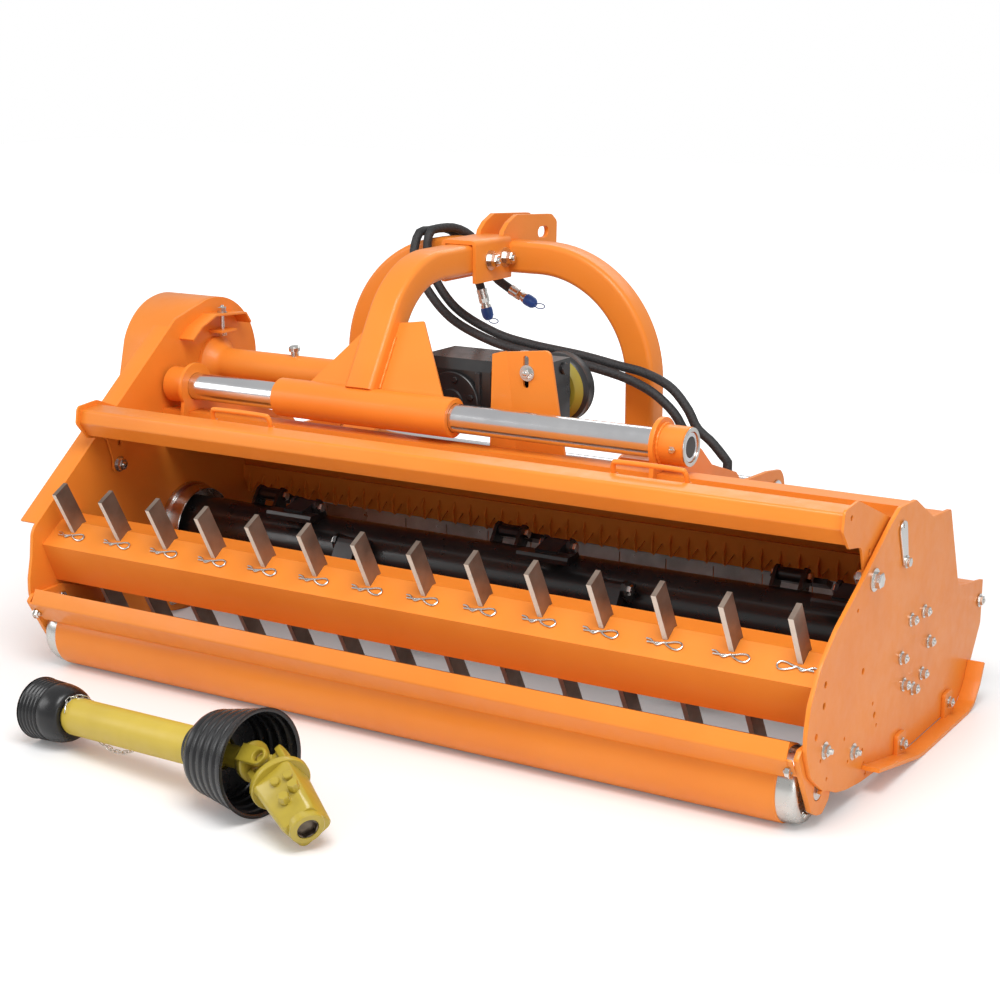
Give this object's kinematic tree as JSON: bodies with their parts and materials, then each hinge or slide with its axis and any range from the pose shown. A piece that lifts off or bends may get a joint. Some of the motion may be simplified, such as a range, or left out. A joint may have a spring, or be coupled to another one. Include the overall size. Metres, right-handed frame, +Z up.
{
  "type": "offset tractor mulcher",
  "caption": "Flail mulcher with a side-shifting three-point headstock, hinged hammers on a belt-driven rotor, rake tines, rear roller, swinging flaps and a loose drive shaft.",
  "frame": {"origin": "on the floor, under the middle of the whole part's bounding box", "axes": "+X to the machine's right as seen from behind, +Y towards the tractor, +Z up"},
  "size_m": [1.9576, 1.7295, 0.9036],
  "materials": {
    "side_plate_right": "glossy orange powder coat",
    "side_plate_left": "glossy orange powder coat",
    "deck_shell": "glossy orange powder coat",
    "box_beam": "glossy orange powder coat",
    "rake_beam": "glossy orange powder coat",
    "counter_comb": "glossy orange powder coat",
    "roller_bracket_right": "glossy orange powder coat",
    "roller_bracket_left": "glossy orange powder coat",
    "roller_scraper": "glossy orange powder coat",
    "skid_right": "glossy orange powder coat",
    "skid_left": "glossy orange powder coat",
    "bar_bracket_right": "glossy orange powder coat",
    "bar_bracket_left": "glossy orange powder coat",
    "rear_slide_bar": "hard chromed and ground",
    "front_slide_bar": "hard chromed and ground",
    "gearbox_housing": "satin black paint",
    "gearbox_bracket": "glossy orange powder coat",
    "shaft_tube": "glossy orange powder coat",
    "belt_cover": "glossy orange powder coat",
    "pto_guard": "yellow guard with a black rim",
    "cylinder_barrel": "satin black paint",
    "drive_belt": "black, matt",
    "rotor_bearing_right": "zinc-plated or machined",
    "rotor_bearing_left": "zinc-plated or machined",
    "hose_upper": "black, matt",
    "hose_lower": "black, matt",
    "rake_tine": "cold-drawn flat bar, dull grey",
    "headstock_arch": "glossy orange powder coat",
    "headstock_leg": "glossy orange powder coat",
    "cylinder_rod": "hard chromed and ground",
    "rotor_tube": "satin black paint",
    "rotor_pulley": "zinc-plated or machined",
    "drive_pulley": "zinc-plated or machined",
    "input_shaft": "zinc-plated or machined",
    "rear_roller": "glossy orange powder coat",
    "rear_hood": "glossy orange powder coat",
    "hood_latch": "zinc-plated or machined",
    "flap_curtain": "zinc-plated or machined",
    "driveline_outer": "yellow guard tube with a black bell",
    "driveline_inner": "yellow guard tube with a black bell",
    "clutch_yoke": "olive yellow paint",
    "hammer": "satin black"
  },
  "bodies": {
    "frame": {"side_plate_right": "side_plate_right", "side_plate_left": "side_plate_left", "deck_shell": "deck_shell", "box_beam": "box_beam", "rake_beam": "rake_beam", "counter_comb": "counter_comb", "roller_bracket_right": "roller_bracket_right", "roller_bracket_left": "roller_bracket_left", "roller_scraper": "roller_scraper", "skid_right": "skid_right", "skid_left": "skid_left", "bar_bracket_right": "bar_bracket_right", "bar_bracket_left": "bar_bracket_left", "rear_slide_bar": "rear_slide_bar", "front_slide_bar": "front_slide_bar", "gearbox_housing": "gearbox_housing", "gearbox_bracket": "gearbox_bracket", "shaft_tube": "shaft_tube", "belt_cover": "belt_cover", "pto_guard": "pto_guard", "cylinder_barrel": "cylinder_barrel", "drive_belt": "drive_belt", "rotor_bearing_right": "rotor_bearing_right", "rotor_bearing_left": "rotor_bearing_left", "hose_upper": "hose_upper", "hose_lower": "hose_lower", "rake_tine_01": "rake_tine", "rake_tine_02": "rake_tine", "rake_tine_03": "rake_tine", "rake_tine_04": "rake_tine", "rake_tine_05": "rake_tine", "rake_tine_06": "rake_tine", "rake_tine_07": "rake_tine", "rake_tine_08": "rake_tine", "rake_tine_09": "rake_tine", "rake_tine_10": "rake_tine", "rake_tine_11": "rake_tine", "rake_tine_12": "rake_tine", "rake_tine_13": "rake_tine", "rake_tine_14": "rake_tine"},
    "headstock": {"headstock_arch": "headstock_arch", "headstock_leg": "headstock_leg", "cylinder_rod": "cylinder_rod"},
    "rotor": {"rotor_tube": "rotor_tube", "rotor_pulley": "rotor_pulley"},
    "cross_shaft": {"drive_pulley": "drive_pulley"},
    "input_shaft": {"input_shaft": "input_shaft"},
    "roller": {"rear_roller": "rear_roller"},
    "hood": {"rear_hood": "rear_hood"},
    "latch": {"hood_latch": "hood_latch"},
    "flaps": {"flap_curtain": "flap_curtain"},
    "driveline": {"driveline_outer": "driveline_outer"},
    "driveline_half": {"driveline_inner": "driveline_inner"},
    "clutch": {"clutch_yoke": "clutch_yoke"},
    "hammer_01": {"hammer_01": "hammer"},
    "hammer_02": {"hammer_02": "hammer"},
    "hammer_03": {"hammer_03": "hammer"},
    "hammer_04": {"hammer_04": "hammer"},
    "hammer_05": {"hammer_05": "hammer"},
    "hammer_06": {"hammer_06": "hammer"}
  },
  "joints": [
    {"name": "side_shift", "type": "slide", "parent": "frame", "child": "headstock", "axis": [1, 0, 0], "range_m": [-0.02, 0.23], "deforming": ["hose_upper", "hose_lower"]},
    {"name": "rotor_spin", "type": "hinge", "parent": "frame", "child": "rotor", "pos_m": [0.0615, 0.1419, 0.199], "axis": [1, 0, 0], "continuous": true},
    {"name": "cross_shaft_spin", "type": "hinge", "parent": "frame", "child": "cross_shaft", "pos_m": [-0.4385, 0.2569, 0.566], "axis": [1, 0, 0], "continuous": true},
    {"name": "input_spin", "type": "hinge", "parent": "frame", "child": "input_shaft", "pos_m": [0.0265, 0.3569, 0.566], "axis": [0, 1, 0], "continuous": true},
    {"name": "roller_spin", "type": "hinge", "parent": "frame", "child": "roller", "pos_m": [0.0615, -0.2921, 0.07], "axis": [1, 0, 0], "continuous": true},
    {"name": "hood_hinge", "type": "hinge", "parent": "frame", "child": "hood", "pos_m": [0.0615, -0.0931, 0.393], "axis": [1, 0, 0], "range_deg": [0, 40]},
    {"name": "latch_hinge", "type": "hinge", "parent": "frame", "child": "latch", "pos_m": [0.9473, 0.0579, 0.39], "axis": [1, 0, 0], "range_deg": [-60, 15]},
    {"name": "flap_swing", "type": "hinge", "parent": "frame", "child": "flaps", "pos_m": [0.0615, 0.5219, 0.197], "axis": [1, 0, 0], "range_deg": [-60, 5]},
    {"name": "driveline_lift", "type": "slide", "parent": "frame", "child": "driveline", "axis": [0, 0, 1], "range_m": [0, 0.3]},
    {"name": "driveline_telescope", "type": "slide", "parent": "driveline", "child": "driveline_half", "axis": [-0.9888, 0.1358, -0.0621], "range_m": [0, 0.25]},
    {"name": "clutch_hinge", "type": "hinge", "parent": "driveline", "child": "clutch", "pos_m": [0.11726, -0.75195, 0.0993], "axis": [0.1397, 0.6948, -0.7055], "range_deg": [-70, 0]},
    {"name": "hammer_01_swing", "type": "hinge", "parent": "rotor", "child": "hammer_01", "pos_m": [-0.6085, 0.1944, 0.28993], "axis": [1, 0, 0], "range_deg": [0, 170]},
    {"name": "hammer_02_swing", "type": "hinge", "parent": "rotor", "child": "hammer_02", "pos_m": [-0.4485, 0.11472, 0.30042], "axis": [1, 0, 0], "range_deg": [-170, 0]},
    {"name": "hammer_03_swing", "type": "hinge", "parent": "rotor", "child": "hammer_03", "pos_m": [-0.2885, 0.05097, 0.2515], "axis": [1, 0, 0], "range_deg": [-170, 0]},
    {"name": "hammer_04_swing", "type": "hinge", "parent": "rotor", "child": "hammer_04", "pos_m": [0.0315, 0.1944, 0.28993], "axis": [1, 0, 0], "range_deg": [0, 170]},
    {"name": "hammer_05_swing", "type": "hinge", "parent": "rotor", "child": "hammer_05", "pos_m": [0.1915, 0.11472, 0.30042], "axis": [1, 0, 0], "range_deg": [-170, 0]},
    {"name": "hammer_06_swing", "type": "hinge", "parent": "rotor", "child": "hammer_06", "pos_m": [0.3515, 0.05097, 0.2515], "axis": [1, 0, 0], "range_deg": [-170, 0]}
  ],
  "couplings": [
    {"joint": "cross_shaft_spin", "follows": "rotor_spin", "ratio": 0.82},
    {"joint": "input_spin", "follows": "rotor_spin", "ratio": 0.41}
  ]
}
